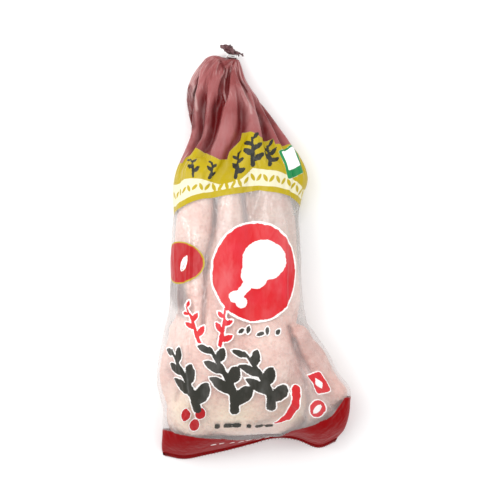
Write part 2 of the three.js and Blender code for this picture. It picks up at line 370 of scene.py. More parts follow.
# along the bag, left edge, right edge, height of the crest
OUTLINE = np.array(
    [
        (-214, -102, 90, 2.4),
        (-209, -103, 93, 18),
        (-203, -103, 97, 40),
        (-194, -102, 100, 61),
        (-180, -101, 103, 78),
        (-162, -100, 104, 88),
        (-142, -100, 96, 93),
        (-118, -100, 77, 95),
        (-90, -98, 61, 94),
        (-56, -93, 53, 88),
        (-18, -90, 50, 83),
        (20, -89, 48, 78),
        (44, -89, 48, 76),
        (62, -90, 52, 75),
        (79, -89, 58, 73),
        (96, -84, 54, 71),
        (111, -77, 46, 66),
        (129, -71, 34, 61),
        (146, -72, 21, 57),
        (164, -75, 8, 53),
        (181, -74, -5, 48),
        (194, -69, -12, 42),
        (203, -59, -14.5, 36),
        (208, -49, -15.5, 31),
        (212.5, -38, -17.5, 25),
    ],
    float,
)
# The weld isn't straight: how far it lies towards the clip at evenly spaced places across the
# bag, and over how many rows of the outline that fades.
SEAL = {"left": -104.0, "spacing": 25.0, "bow": [-10, -14.5, -10, -4.5, 2, 8.5, 7, -2, 8], "rows": 6}
# where the bulge beside the neck rises and falls across the bag, and where it grows along it
SHOULDER = {"reach": 10.0, "rise": (-76, -58), "fall": (-34, -43), "grow": (165, 205)}
TURN = {"degrees": 47.0, "from": 105.0, "to": 195.0}  # the film is twisted round before the clip
LAST_ROW = len(OUTLINE) - 1


def bulge(v, power):
    """A power that keeps the sign of its value."""
    return np.sign(v) * np.abs(v) ** power


def shoulder(x, y):
    """How far the film bulges past its row beside the neck, at a place across and along it."""
    across = smooth(*SHOULDER["rise"], x) * smooth(*SHOULDER["fall"], x)
    return SHOULDER["reach"] * across * smooth(*SHOULDER["grow"], y)


def tube_point(t, place):
    """Points of the unfolded bag: t is the row of the outline, place the angle round it."""
    y, left, right, crest = (through(OUTLINE[:, c], t) for c in range(4))
    free = WIDEST_AT * crest
    height = free + (NECK["z"] - free) * smooth(LAST_ROW - 3, LAST_ROW, t)
    angle = np.radians(place - TURN["degrees"] * smooth(TURN["from"], TURN["to"], y))
    c, s = np.cos(angle), np.sin(angle)
    up = np.where(s > 0, crest - height, height + SINK * crest)
    x = (left + right) / 2 + (right - left) / 2 * bulge(c, np.where(s > 0, ROUND_TOP, SQUARE_FOOT))
    z = height + up * bulge(s, np.where(s > 0, 1, SQUARE_FOOT))
    bow = through(SEAL["bow"], (x - SEAL["left"]) / SEAL["spacing"])
    forward = bow * (1 - smooth(0, SEAL["rows"], t)) + shoulder(x, y)
    return np.stack([x, y + forward, np.maximum(z, FLOOR_GAP)], axis=-1)


def even_rows(count):
    """Row positions that are evenly spaced along the top of the bag, and those distances."""
    t = np.linspace(0, LAST_ROW, 4000)
    crest = np.stack([through(OUTLINE[:, 0], t), through(OUTLINE[:, 3], t)], axis=-1)
    run = np.concatenate([[0], np.cumsum(np.linalg.norm(np.diff(crest, axis=0), axis=1))])
    along = np.linspace(0, run[-1], count)
    return np.interp(along, run, t), along


def tube(rows, columns):
    """The unfolded bag as a grid of rings, and how far each ring is along its top."""
    t, along = even_rows(rows)
    place = 360 * np.arange(columns) / columns
    return tube_point(t[:, None], place[None, :]), along


def normals_of(points):
    """Outward normals of a grid of rings."""
    around = np.roll(points, -1, axis=1) - np.roll(points, 1, axis=1)
    along = np.gradient(points, axis=0)
    return unit(np.cross(along, around))


unfolded, ALONG = tube(ROWS, COLUMNS)
print("film length along the top in mm:", round(ALONG[-1]))
print("box of the unfolded film:", unfolded.min(axis=(0, 1)).round(), unfolded.max(axis=(0, 1)).round())

# %% [markdown]
# ## The film: folds that come from its own length
# Real film folds where it is longer than the way round the bag. Each ring of the grid gets a
# rest length that is the unfolded one times some slack, most near the clip, where the whole
# tube is gathered. The eleven long creases and the fine pleats at the clip are given, and
# the film is drawn towards them. Faint seeded ripples start the others, and a small cloth solver
# finds their form. It moves points along their links until each link has its own length, keeps
# them off the bird and the floor, and lets them rise only a little past the creased bag, so spare
# film folds inwards, into deep creases between broad ridges. It starts on a coarse grid, where
# large folds form quickly, and is refined three times. Blender's cloth could do it too, over many
# frames. A solver of a few dozen lines is quicker here and keeps to the bag's known outline.

# %% How much film there is
# each table gives a value at places along the bag, and slack is a share of the unfolded length
SLACK_AT = [(-214, 1.0), (-200, 1.01), (-160, 1.025), (30, 1.03), (64, 1.02), (84, 1.06), (112, 1.17)]
SLACK_AT += [(150, 1.34), (188, 1.45), (206, 1.4), (213, 1.2)]
LENGTHWISE_SLACK = 1.004
HUG_AT = [(-200, 0.0), (-185, 0.4), (-150, 1.0), (50, 1.0), (75, 0.4), (100, 0.0)]  # pull to the bird
RIDGE_AT = [(-190, 0.6), (-150, 2.2), (30, 2.2), (70, 0.6)]  # mm that film may rise past the creased bag
DIP_AT = [(-200, 2.0), (-150, 4.0), (60, 5.0), (100, 8.0), (150, 11.0)]  # and sink below it
STAND_OFF = 0.9  # mm between film and skin
EXTRA_GAP = 0.6  # mm more before the wrapped bag is smoothed, which draws it back in
FILM_GAP = 0.15  # mm between film and floor


def by_y(table, y):
    return np.interp(y, [row[0] for row in table], [row[1] for row in table])


# The long creases: place round the bag in degrees, start and end along it, half width in degrees
# and depth.
CREASES = [
    (157, 96, 186, 6, 12),
    (133, 90, 182, 7, 13),
    (117, 176, 213, 4, 4),
    (103, 62, 128, 4, 6),
    (96, 106, 172, 5, 7),
    (78, 158, 202, 5, 6),
    (62, 92, 176, 6, 10),
    (54, 66, 126, 4, 6),
    (192, 118, 200, 11, 12),
    (36, 90, 190, 6, 7),
    (12, 110, 200, 7, 6),
]


def crease_depth(place, y):
    """How deep the long creases are at a place round the bag and along it."""
    depth = 0
    for middle, start, end, width, deep in CREASES:
        share = (y - start) / (end - start)
        away = (place - middle + 180) % 360 - 180
        fade = smooth(0, 0.4, share) * smooth(1, 0.75, share)
        depth = depth + deep * fade * np.exp(-((away / width) ** 2))
    return depth


PLEATS = 17  # round the neck
PLEAT_DEPTH = 1.6


def pleat_depth(place, y):
    """Fine pleats that run out of the clip and fade down the bag."""
    angle = np.radians(place - TURN["degrees"])
    wave = 0.5 + 0.5 * np.sin(PLEATS * angle + 3 * np.sin(2 * angle))
    return PLEAT_DEPTH * smooth(168, 206, y) * wave**2


# %% The cloth solver's links
# how firmly links keep their length: across a face, over two columns and over two rows
SHEAR, BEND_ROUND, BEND_ALONG = 0.12, 0.5, 0.25


def links_between(rest, first, second, give):
    """Links between two lists of points: from, to, length and firmness."""
    a, b = first.ravel(), second.ravel()
    length = np.linalg.norm(rest.reshape(-1, 3)[a] - rest.reshape(-1, 3)[b], axis=1)
    return [a, b, length.astype(np.float32), np.float32(give)]


def film_links(rest, slack, shape):
    """All links of a ring grid, sorted so that no point is in two links of one group."""
    rows, columns = shape
    index = np.arange(rows * columns).reshape(rows, columns)
    right, far_right = np.roll(index, -1, axis=1), np.roll(index, -2, axis=1)
    groups = []
    for start in (0, 1):
        ring = links_between(rest, index[:, start::2], right[:, start::2], 1.0)
        ring[2] *= np.repeat(slack, columns // 2).astype(np.float32)
        groups.append(ring)
        along = links_between(rest, index[start:-1:2], index[start + 1 :: 2], 1.0)
        along[2] *= np.float32(LENGTHWISE_SLACK)
        groups.append(along)
        down = links_between(rest, index[start:-1:2], right[start + 1 :: 2], SHEAR)
        up = links_between(rest, right[start:-1:2], index[start + 1 :: 2], SHEAR)
        groups += [down, up]
    for start in (0, 2):
        pairs = [np.arange(start, columns, 4), np.arange(start + 1, columns, 4)]
        some = np.concatenate(pairs)
        bend = links_between(rest, index[:, some], far_right[:, some], BEND_ROUND)
        bend[2] *= np.repeat(slack, len(some)).astype(np.float32)
        groups.append(bend)
        some = np.concatenate([np.arange(start, rows - 2, 4), np.arange(start + 1, rows - 2, 4)])
        groups.append(links_between(rest, index[some], index[some + 2], BEND_ALONG))
    return groups


# %% A finer grid, and the shapes that the film is held to
def refine(grid, rows, columns):
    """The same surface on a finer grid of rings."""
    old_rows, old_columns = grid.shape[:2]
    column = np.arange(columns) * old_columns / columns
    i = np.floor(column).astype(int)
    near = (grid[:, (i + k) % old_columns] for k in (-1, 0, 1, 2))
    wide = between(*near, (column - i)[None, :, None])
    row = np.linspace(0, old_rows - 1, rows)
    i = np.clip(np.floor(row).astype(int), 0, old_rows - 2)
    near = (wide[np.clip(i + k, 0, old_rows - 1)] for k in (-1, 0, 1, 2))
    return between(*near, (row - i)[:, None, None])


def push_off_bird(points, gap):
    """Moves points that are closer to the bird than the gap straight out of it."""
    depth = read_field(WRAP_FIELD, points) - gap
    near = depth < 0
    if near.any():
        inside = points[near]
        out = unit(np.stack([read_field(s, inside) for s in WRAP_SLOPE], axis=-1))
        points[near] = inside - depth[near][:, None] * out
    return points


def wrapped_tube(rows, columns):
    """The unfolded bag, pushed out evenly where the bird presses on it."""
    rest, _ = tube(rows, columns)
    for _ in range(3):
        rest = push_off_bird(rest, STAND_OFF + EXTRA_GAP)
        for _ in range(1 + rows // 40):
            even = (np.roll(rest, 1, axis=1) + np.roll(rest, -1, axis=1))[1:-1] + rest[:-2] + rest[2:]
            rest[1:-1] += 0.5 * (even / 4 - rest[1:-1])
    rest[..., 2] = np.maximum(rest[..., 2], FILM_GAP)
    return rest


def creased_tube(smooth_tube):
    """The wrapped tube with its long creases and its pleats folded in."""
    place = 360 * np.arange(smooth_tube.shape[1]) / smooth_tube.shape[1]
    y = smooth_tube[:, :, 1].mean(axis=1)[:, None]
    depth = crease_depth(place, y) + pleat_depth(place, y)
    return push_off_bird(smooth_tube - depth[..., None] * normals_of(smooth_tube), STAND_OFF)


# %% The cloth solver
# how far a pass draws film back to the creased bag, as a share: anywhere, underneath, at the neck
PULL_HOME, PULL_UNDER, PULL_AT_NECK = 0.004, 0.05, 0.4


def relax(film, passes, hug):
    """Runs the solver on a grid of rings and returns the settled grid."""
    shape = film.shape[:2]
    rest = wrapped_tube(*shape)
    creased = creased_tube(rest).reshape(-1, 3).astype(np.float32)
    y = rest[:, :, 1].mean(axis=1)
    out = normals_of(rest).reshape(-1, 3).astype(np.float32)
    groups = film_links(rest, by_y(SLACK_AT, y), shape)
    held = np.zeros(shape)
    held[0] = held[-1] = 1
    top = smooth(0.25, 0.8, out[:, 2]).reshape(shape)
    settle = by_y(HUG_AT, y)[:, None] * top * hug
    under = PULL_UNDER * (1 - top) * smooth(120, 60, y)[:, None]
    home = PULL_HOME + under + PULL_AT_NECK * smooth(208, 213, y)[:, None]
    held, settle, home = (v.reshape(-1, 1).astype(np.float32) for v in (held, settle, home))
    dip, ridge = (np.repeat(by_y(table, y), shape[1]).astype(np.float32) for table in (DIP_AT, RIDGE_AT))
    rest = rest.reshape(-1, 3).astype(np.float32)
    points = film.reshape(-1, 3).astype(np.float32)
    for count in range(passes):
        points -= settle * out
        for a, b, length, give in groups:
            pa, pb = points[a], points[b]
            gap = pb - pa
            long = np.sqrt(np.einsum("ij,ij->i", gap, gap))
            move = gap * (0.5 * give * (1 - length / np.maximum(long, 1e-4)))[:, None]
            points[a] = pa + move
            points[b] = pb - move
        rise = np.einsum("ij,ij->i", points - creased, out)
        points += (np.clip(rise, -dip, ridge) - rise)[:, None] * out
        points += home * (creased - points)
        if count % 3 == 2 or count == passes - 1:
            points = push_off_bird(points, STAND_OFF)
        points[:, 2] = np.maximum(points[:, 2], FILM_GAP)
        points += held * (rest - points)
    return points.reshape(*shape, 3).astype(float)


# %% Fold the film
def first_folds(rows, columns, seed=7):
    """The creased bag with faint random ripples, for finer folds to grow from."""
    rest = wrapped_tube(rows, columns)
    rng = np.random.default_rng(seed)
    place = 360 * np.arange(columns) / columns
    y = rest[:, :, 1].mean(axis=1)[:, None]
    ripple = np.zeros((rows, columns))
    for waves in range(4, 12):
        drift = rng.uniform(-0.02, 0.02) * waves
        phase = rng.uniform(0, 360)
        swell = 0.5 + 0.5 * np.sin(y * rng.uniform(0.01, 0.04) + rng.uniform(0, 6))
        ripple += swell * np.sin(np.radians(waves * place + phase + drift * y)) / 5
    amount = 0.3 + 4 * smooth(80, 190, y)
    depth = amount * np.maximum(ripple + 0.3, 0)
    return push_off_bird(creased_tube(rest) - depth[..., None] * normals_of(rest), STAND_OFF)


# rows, columns, passes, and mm by which a pass draws film to the bird
STEPS = [(36, 40, 200, 0.06), (72, 80, 120, 0.05), (144, 160, 80, 0.03), (ROWS, COLUMNS, 50, 0.012)]
folded = first_folds(*STEPS[0][:2])
for rows, columns, passes, hug in STEPS:
    folded = relax(refine(folded, rows, columns), passes // (1), hug)
print("film settled, highest point in mm:", folded[..., 2].max().round(1))

# %% [markdown]
# ## The neck and the tail
# Inside the clip the film is a tight bundle of pleats, and past it the pleats spring open into
# a short, crumpled tail. That part is too small to simulate, so its rings are given by a formula:
# an oval that opens from the clip's radius, with a few broad lobes and finer pleats on them, and
# seeded waves that crumple it.

# %% Neck and tail rings
GRIP = 2.6  # half the length that the clip holds
# in mm, but for the count of broad lobes and the share by which the right side leans back
TAIL = {"length": 8.0, "width": 9.8, "height": 7.0, "lobes": 5, "lean": 0.5, "ruffle": 2.2, "tilt": 7.0}
TAIL_ROWS = 22
FRAY = 0.9  # how far the pleats carry the tail's rim to and fro
DROOP = 0.4  # how much more its right side leans back
CRUMPLE = 2.2  # how far crumpling moves the tail's film
CRUMPLE_WAVES = 14


def tail_rings():
    """Rings of the neck and the tail, as many points each as the body's."""
    beyond = np.concatenate([[-GRIP, 0], np.linspace(GRIP, TAIL["length"], TAIL_ROWS)])[:, None]
    share = np.clip((beyond - GRIP) / (TAIL["length"] - GRIP), 0, 1)
    opening = np.sqrt(smooth(0, 0.75, share))
    angle = np.radians(360 * np.arange(COLUMNS) / COLUMNS - TURN["degrees"])[None, :]
    pleat = np.sin(PLEATS * angle + 3 * np.sin(2 * angle))
    lobe = 1 + 0.27 * opening * np.sin(TAIL["lobes"] * angle + 0.9) + (0.05 + 0.11 * opening) * pleat
    curl = 1 - 0.35 * smooth(0.7, 1, share)
    x = (NECK["radius"] + (TAIL["width"] - NECK["radius"]) * opening) * np.cos(angle) * lobe * curl
    z = (NECK["radius"] + (TAIL["height"] - NECK["radius"]) * opening) * np.sin(angle) * lobe * curl
    lift = TAIL["tilt"] * share - 0.25 * np.abs(x) * share
    ruffle = TAIL["ruffle"] * np.sin(3 * angle + 1.0) - 1.5 * np.sin(angle)
    y = beyond - TAIL["lean"] * x * share + share * (FRAY * pleat + ruffle - DROOP * np.maximum(x, 0))
    rings = np.stack([NECK["x"] + x, NECK["y"] + y, NECK["z"] + z + lift], axis=-1)
    return rings + CRUMPLE * smooth(0, 0.5, share)[..., None] * crumple(rings)


def crumple(points, seed=11):
    """A shift of each point by a few seeded waves, as when film is bunched by hand."""
    chance = np.random.default_rng(seed)
    shift = np.zeros(points.shape)
    for _ in range(CRUMPLE_WAVES):
        wave = unit(chance.normal(size=3)) * chance.uniform(0.7, 1.9)
        shift += unit(chance.normal(size=3)) * np.sin(points @ wave + chance.uniform(0, 6.3))[..., None]
    return shift / math.sqrt(CRUMPLE_WAVES)


film_rings = np.concatenate([folded, tail_rings()])
print("film rings:", film_rings.shape[:2])

# %% [markdown]
# ## The weld
# Two hot jaws press the end of the tube flat over a narrow strip, and it opens again behind
# them. The same is done to the rings: in the strip no point is higher than the strip is thick,
# and behind it that limit fades out. Two sheets of film, modelled apart, would need sewing.

# %% Press the end of the tube flat
WELD = 7.0  # length of the flat, welded strip
WELD_FADE = 9.0
WELD_THICKNESS = 0.7

flat = smooth(WELD, WELD + WELD_FADE, ALONG)[:, None]
body = film_rings[:ROWS, :, 2]
film_rings[:ROWS, :, 2] = np.minimum(body, WELD_THICKNESS) * (1 - flat) + body * flat
print("weld thickness in mm:", film_rings[2, :, 2].max().round(2))

# %% [markdown]
# ## One mesh of film
# The body, the neck and the tail are one sheet on the real bag, so they are one mesh here.
# Rings of equal count need no bridging by hand: four neighbours make a face. The weld's end is
# closed flat. The real tail is open, and here it is closed on its middle, down in the crumpled
# film, so that the mesh has no hole.

# %% The film as one closed mesh
def film_faces(rows, columns):
    """Quads between rings, a flat closing of the weld and a closing of the tail on its middle."""
    index = np.arange(rows * columns).reshape(rows, columns)
    right = np.roll(index, -1, axis=1)
    faces = np.stack([index[:-1], index[1:], right[1:], right[:-1]], axis=-1).reshape(-1, 4).tolist()
    top, under = index[0, 1 : columns // 2], index[0, :0:-1][: columns // 2 - 1]
    faces += np.stack([top[:-1], top[1:], under[1:], under[:-1]], axis=-1).tolist()
    faces += [[0, top[0], under[0]], [top[-1], index[0, columns // 2], under[-1]]]
    middle = rows * columns
    faces += np.stack([right[-1], index[-1], np.full(columns, middle)], axis=-1).tolist()
    return faces


film_points = np.concatenate([film_rings.reshape(-1, 3), film_rings[-1].mean(axis=0)[None]])
film = mesh_piece("bag_film", film_points, film_faces(*film_rings.shape[:2]))
print("film faces:", len(film.data.polygons))

# %% [markdown]
# ## The print
# The bag is printed on flat film, before it is filled. So the print is drawn on the film's own
# flat measure: how far round from the middle of the upper side, and how far along from the
# weld. Each ink is a distance field, negative inside its shape, kept as an attribute of the
# film's points. The material cuts it at zero, so edges stay sharp where the mesh is coarse, and
# the print folds with the film. The shapes are plain fields, discs, leaves and strokes.

# %% The flat measure
def round_measure(rings):
    """Distance round the bag from the middle of the upper side, positive to the right."""
    step = np.linalg.norm(np.roll(rings, -1, axis=1) - rings, axis=2)
    run = np.concatenate([np.zeros((len(rings), 1)), np.cumsum(step, axis=1)], axis=1)
    girth = run[:, -1:]
    away = run[:, COLUMNS // 4 : COLUMNS // 4 + 1] - run[:, :-1]
    return np.where(away < -girth / 2, away + girth, away)


# for every point of the film, how far round and how far along it lies on the flat film
flat_rings = wrapped_tube(ROWS, COLUMNS)
AROUND = round_measure(flat_rings)
LENGTHWISE = np.repeat(ALONG[:, None], COLUMNS, axis=1)
print("girth at the legs in mm:", (AROUND[170].max() - AROUND[170].min()).round())


def seen_from_above(points):
    """Where the camera sees points of the drawing, on the plane that it aims at."""
    scale = distance / (distance - (points[..., 2] - AIM[2]))
    return AIM[:2] + (points[..., :2] - AIM[:2]) * scale[..., None]


# the upper side of the film, and where its points are seen
UPPER = normals_of(flat_rings)[..., 2] > 0.05
SEEN = seen_from_above(folded)


def on_film(x, y):
    """The flat measure of the place that is seen at x, y from above."""
    away = np.where(UPPER, np.hypot(SEEN[..., 0] - x, SEEN[..., 1] - y), np.inf)
    row, column = np.unravel_index(away.argmin(), away.shape)
    return np.array([AROUND[row, column], ALONG[row]])


# %% Shapes to print
def disc(centre, rx, ry):
    """An oval, from its middle and its two radii."""
    u, v = (AROUND - centre[0]) / rx, (LENGTHWISE - centre[1]) / ry
    return (np.hypot(u, v) - 1) * min(rx, ry)


def stroke(points, widths):
    """A brush stroke through points, with its half width at each."""
    total = np.full(AROUND.shape, FAR)
    for (a, b), (r0, r1) in zip(zip(points, points[1:]), zip(widths, widths[1:])):
        a, b = np.asarray(a, float), np.asarray(b, float)
        du, dv = b - a
        t = np.clip(((AROUND - a[0]) * du + (LENGTHWISE - a[1]) * dv) / (du * du + dv * dv), 0, 1)
        away = np.hypot(AROUND - a[0] - t * du, LENGTHWISE - a[1] - t * dv)
        total = np.minimum(total, away - (r0 + (r1 - r0) * t))
    return total


def panel(centre, width, height, degrees=0.0, corner=1.0):
    """A turned rectangle with round corners."""
    c, s = math.cos(math.radians(degrees)), math.sin(math.radians(degrees))
    u, v = AROUND - centre[0], LENGTHWISE - centre[1]
    u, v = np.abs(c * u + s * v) - width / 2 + corner, np.abs(c * v - s * u) - height / 2 + corner
    return np.hypot(np.maximum(u, 0), np.maximum(v, 0)) + np.minimum(np.maximum(u, v), 0) - corner


def leaf(root, degrees, length, width):
    """A pointed leaf: what two large discs have in common."""
    direction = np.array([math.cos(math.radians(degrees)), math.sin(math.radians(degrees))])
    side = np.array([-direction[1], direction[0]])
    radius = (length**2 / 4 + width**2 / 4) / width
    middle = np.asarray(root) + direction * length / 2
    total = np.full(AROUND.shape, -FAR)
    for sign in (-1, 1):
        centre = middle + sign * side * (radius - width / 2)
        total = np.maximum(total, disc(centre, radius, radius))
    return total


def sprig(foot, degrees, length, leaves, leaf_length, leaf_width, stem=1.6):
    """A curved stem with leaves on both sides, larger at its foot."""
    turn = np.radians(degrees + np.array([0, 8, 18]))
    steps = np.stack([np.cos(turn), np.sin(turn)], axis=1) * length / 3
    points = np.concatenate([[foot], foot + np.cumsum(steps, axis=0)])
    total = stroke(points, [stem * 1.3, stem, stem * 0.8, stem * 0.4])
    for k in range(leaves):
        share = (k + 0.6) / leaves * 3
        i = min(int(share), 2)
        root = points[i] + (points[i + 1] - points[i]) * (share - i)
        lean = 48 if k % 2 else -48
        size = 1 - 0.09 * k
        total = np.minimum(total, leaf(root, degrees + 9 * i + lean, leaf_length * size, leaf_width * size))
    return total


def field_edge(seen_points):
    """How far along the film a colour field ends, at each place round it."""
    edge = np.array(sorted(on_film(x, y).tolist() for x, y in seen_points))
    return np.interp(AROUND, edge[:, 0], edge[:, 1])


# %% Fields of colour
# where they end, as seen from above
WINE_EDGE = [(-80, 98), (-76, 104.5), (-65, 115.5), (-53, 110), (-38.5, 103.4), (-31, 103.4), (-28.6, 112)]
WINE_EDGE += [(-16.5, 123), (-14, 132), (-4.4, 134), (5.5, 127.6), (20, 126.5), (22, 118.8), (38.5, 116.6)]
CREAM_TOP = [(-86, 74.8), (-78, 80.3), (-58, 81.4), (-39.6, 75.9), (-27.5, 77), (-14.3, 82.5), (-2.2, 93.5)]
CREAM_TOP += [(11, 91.3), (23, 91.3), (36.3, 85.8), (47.3, 78), (52.8, 70)]
CREAM_FOOT = [(-87, 51.7), (-78, 59.4), (-58, 66), (-39.6, 69.3), (-14.3, 72.6), (4.4, 74.8), (23, 73.7)]
CREAM_FOOT += [(38.5, 69.3), (50, 60)]
STRIPE_FOOT = [(-88, 42.9), (-78, 51.7), (-58, 59.4), (-39.6, 61.6), (-14.3, 66), (4.4, 69.3), (23, 67.1)]
STRIPE_FOOT += [(38.5, 61.6), (50, 50)]
BASE_EDGE = [(-95.7, -194.7), (-77, -201), (-34, -204.6), (12, -203.5), (29.7, -201), (57, -191)]
BASE_EDGE += [(68, -188), (79, -182.6), (99, -159.5)]

wine_edge, cream_top, cream_foot, stripe_foot, base_edge = (
    field_edge(points) for points in (WINE_EDGE, CREAM_TOP, CREAM_FOOT, STRIPE_FOOT, BASE_EDGE)
)
ink = {
    "burgundy": LENGTHWISE - base_edge,
    "wine": wine_edge - LENGTHWISE,
    "mustard": np.maximum(LENGTHWISE - wine_edge, stripe_foot - LENGTHWISE),
    "cream": np.maximum(LENGTHWISE - cream_top, cream_foot - LENGTHWISE),
}
print("colour fields:", list(ink))
for name in ("white", "green", "red", "crimson", "charcoal"):
    ink[name] = np.full(AROUND.shape, FAR)


def add_ink(name, shape):
    """Prints a shape in one ink."""
    ink[name] = np.minimum(ink[name], shape)


def cut_ink(name, shape):
    """Leaves a shape out of one ink."""
    ink[name] = np.maximum(ink[name], -shape)


# %% A row of leaves on the cream strip
LEAF_PITCH = 7.0
LEAF_LENGTH = 11.0
LEAF_WIDTH = 4.4
strip_middle = (cream_top + cream_foot) / 2
for u in np.arange(-210, 210, LEAF_PITCH):
    near = np.abs(AROUND - u).argmin(axis=1)
    v = np.median(np.take_along_axis(strip_middle, near[:, None], 1))
    tilt = 60 if round(u / LEAF_PITCH) % 2 else 120
    back = LEAF_LENGTH / 2
    root = (u - back * math.cos(math.radians(tilt)), v - back * math.sin(math.radians(tilt)))
    cut_ink("cream", leaf(root, tilt, LEAF_LENGTH, LEAF_WIDTH) + 0.3)

# %% The round badges
LEFT_RIM, RIGHT_RIM = on_film(-47, -21), on_film(44, -21)
BADGE = (LEFT_RIM + RIGHT_RIM) / 2
BADGE_RADIUS = 53.0  # along the film, as the bird's bulge widens it across
HALO = 2.2  # width of a white rim, and of the narrow one of smaller shapes
THIN_HALO = 1.4

badge = disc(BADGE, (RIGHT_RIM - LEFT_RIM)[0] / 2, BADGE_RADIUS)
add_ink("white", badge - HALO)
add_ink("red", badge)


def drumstick(centre):
    """A plain drumstick: a leaning oval of meat, a bone and its two knuckles."""
    meat = np.minimum(disc(centre + [6, 9], 24, 22), disc(centre + [-4, -6], 15, 16))
    bone = stroke([centre + [0, 0], centre + [-21, -30]], [7.5, 4.2])
    knuckles = [disc(centre + [-26, -31], 6.2, 6.2), disc(centre + [-19, -37], 6.2, 6.2)]
    return np.minimum.reduce([meat, bone, *knuckles])


cut_ink("red", drumstick(BADGE + [3, 4]))

small_badge = disc(on_film(-84, -12), 30, 22)
add_ink("mustard", small_badge - THIN_HALO)
add_ink("crimson", small_badge)
leaf_at = on_film(-78, -12)
one_leaf = leaf(leaf_at + [-5, -9], 64, 22, 8.5)
cut_ink("crimson", one_leaf)
add_ink("white", one_leaf)
add_ink("crimson", stroke([leaf_at + [-5, -9], leaf_at + [3.5, 8]], [0.8, 0.4]))
print("badge middle and size:", BADGE.round(), (RIGHT_RIM - LEFT_RIM)[0].round())

# %% Bold sprigs, in charcoal with a white halo
for x, y, lean, length in [(-64, -172, 98, 66), (-22, -173, 88, 68), (18, -169, 92, 64)]:
    shape = sprig(on_film(x, y), lean, length, 6, 30, 14.5, 4.0)
    add_ink("white", shape - THIN_HALO)
    add_ink("charcoal", shape)
hook = stroke(
    [on_film(22, -187), on_film(36, -181), on_film(44, -168), on_film(45, -150)], [1.6, 4.2, 4.8, 4.4]
)
add_ink("white", hook - THIN_HALO)
add_ink("red", hook)

# %% Smaller marks: sprigs, leaves, discs, bars and dashes
for x, y, lean in [(-62, -98, 100), (-38, -102, 70)]:
    shape = sprig(on_film(x, y), lean, 42, 5, 15, 6.5, 1.9)
    add_ink("white", shape - THIN_HALO)
    add_ink("red", shape)
for k, lean in enumerate((35, 75, 20, 80, 45)):
    foot = on_film(-19 + 10.5 * k, -90)
    shape = leaf(foot, lean, 9.5, 4.6)
    add_ink("white", shape - 1.2)
    add_ink("charcoal", shape)
for x, y in [(-76, -178), (-66, -189), (-60, -177)]:
    shape = disc(on_film(x, y), 6.0, 7.6)
    add_ink("white", shape - 0.8)
    add_ink("crimson", shape)
for k in range(6):
    centre = on_film(-42 + 11.5 * k, -190)
    add_ink("charcoal", panel(centre, 9 if k % 3 else 5.5, 6.4, 0, 1.5))
for k in range(7):
    mark = panel(on_film(-46 + 10 * k, -211 + 1.2 * k), 7, 2.4, 12, 1.0)
    add_ink("white", mark)

# %% The square and the round mark by the corner
square = panel(on_film(71, -143), 21, 22, 12, 2.5)
add_ink("white", square - 1.2)
add_ink("red", square)
cut_ink("red", panel(on_film(71, -143), 8.5, 8.5, 57, 0.8))
ring_mark = disc(on_film(69, -171), 10.5, 12)
add_ink("white", ring_mark)
add_ink("red", ring_mark + 1.4)
cut_ink("red", leaf(on_film(69, -171) + [-5, -6], 52, 15, 7))

# %% A plain label and sprigs on the mustard band
label_at = on_film(39, 100)
label = panel(label_at, 25, 35, 20, 1.5)
cut_ink("cream", label)
add_ink("white", label)
add_ink("green", np.maximum(label, -(label + 2.6)))
add_ink("green", np.maximum(label, panel(label_at + [4.5, -12], 44, 9, 20)))
for x, y, lean, length, size in [(-3, 97, 92, 32, 15), (16, 97, 86, 28, 14), (-22, 84, 80, 30, 12)]:
    add_ink("charcoal", sprig(on_film(x, y), lean, length, 5, size, size * 0.46, 1.8))
for x, y, lean, length, size in [(-68, 83, 96, 21, 9.5), (-50, 83, 78, 18, 9)]:
    add_ink("charcoal", sprig(on_film(x, y), lean, length, 4, size, size * 0.46, 1.3))

# %% [markdown]
# ## Painted highlights and shade
# Painted highlights make the ink pale along some folds, painted shade makes the wine film darker
# where it dips between folds, and painted shade makes bare film darker over hollows of the bird and
# between the legs. The solver finds where most folds lie. The largest marks have known places, so
# those are drawn as routes seen from above.

# %% Places of painted highlight and painted shade
# route, half width, amount
# painted highlights: pale streaks along folds, in place of the lamps' glints
PAINTED_HIGHLIGHT_ROUTES = [([(-62, 208), (-71, 188)], 3.0, 0.4), ([(-68, 186), (-64, 158)], 1.6, 0.45)]
PAINTED_HIGHLIGHT_ROUTES += [([(-14, 182), (-6, 166), (-4, 154)], 1.4, 0.3)]
# painted shade on the wine film, where it lies in the shade of folds
SHADED = [([(-73, 180), (-70, 140)], 5.5, 1.0), ([(-14, 188), (-9, 178)], 2.4, 0.9)]
SHADED += [([(4, 172), (18, 146)], 7.0, 0.6), ([(-38, 211), (-33, 201)], 1.9, 0.8)]
SHADED += [([(-27, 205), (-29, 195)], 1.2, 0.8)]
# painted shade: bare film made darker over hollows of the bird and between the legs
HOLLOW_SHADE_ROUTES = [([(-92, -28), (-84, -54)], 9.0, 1.0), ([(-41, 74), (-43, 52), (-45, 30)], 2.6, 0.7)]
HOLLOW_SHADE_ROUTES += [([(-14, 78), (-12, 52), (-9, 30)], 2.6, 0.7), ([(60, -90), (80, -118)], 13.0, 0.35)]


def beside(streaks):
    """How near the film's upper side is to any of some streaks, from 0 to their amount."""
    total = np.zeros(AROUND.shape)
    for route, width, amount in streaks:
        total = np.maximum(total, amount * np.exp(-((away_from(route, SEEN) / width) ** 4)))
    return np.where(normals_of(folded)[..., 2] > -0.1, total, 0)


painted_highlight, shaded, hollow_shade = (beside(streaks) for streaks in (PAINTED_HIGHLIGHT_ROUTES, SHADED, HOLLOW_SHADE_ROUTES))
# counts of film points with painted highlight, painted shade in creases and painted shade over hollows
marked = [int((v > 0.1).sum()) for v in (painted_highlight, shaded, hollow_shade)]
print("points of film that are rubbed, shaded and gloomy:", marked)

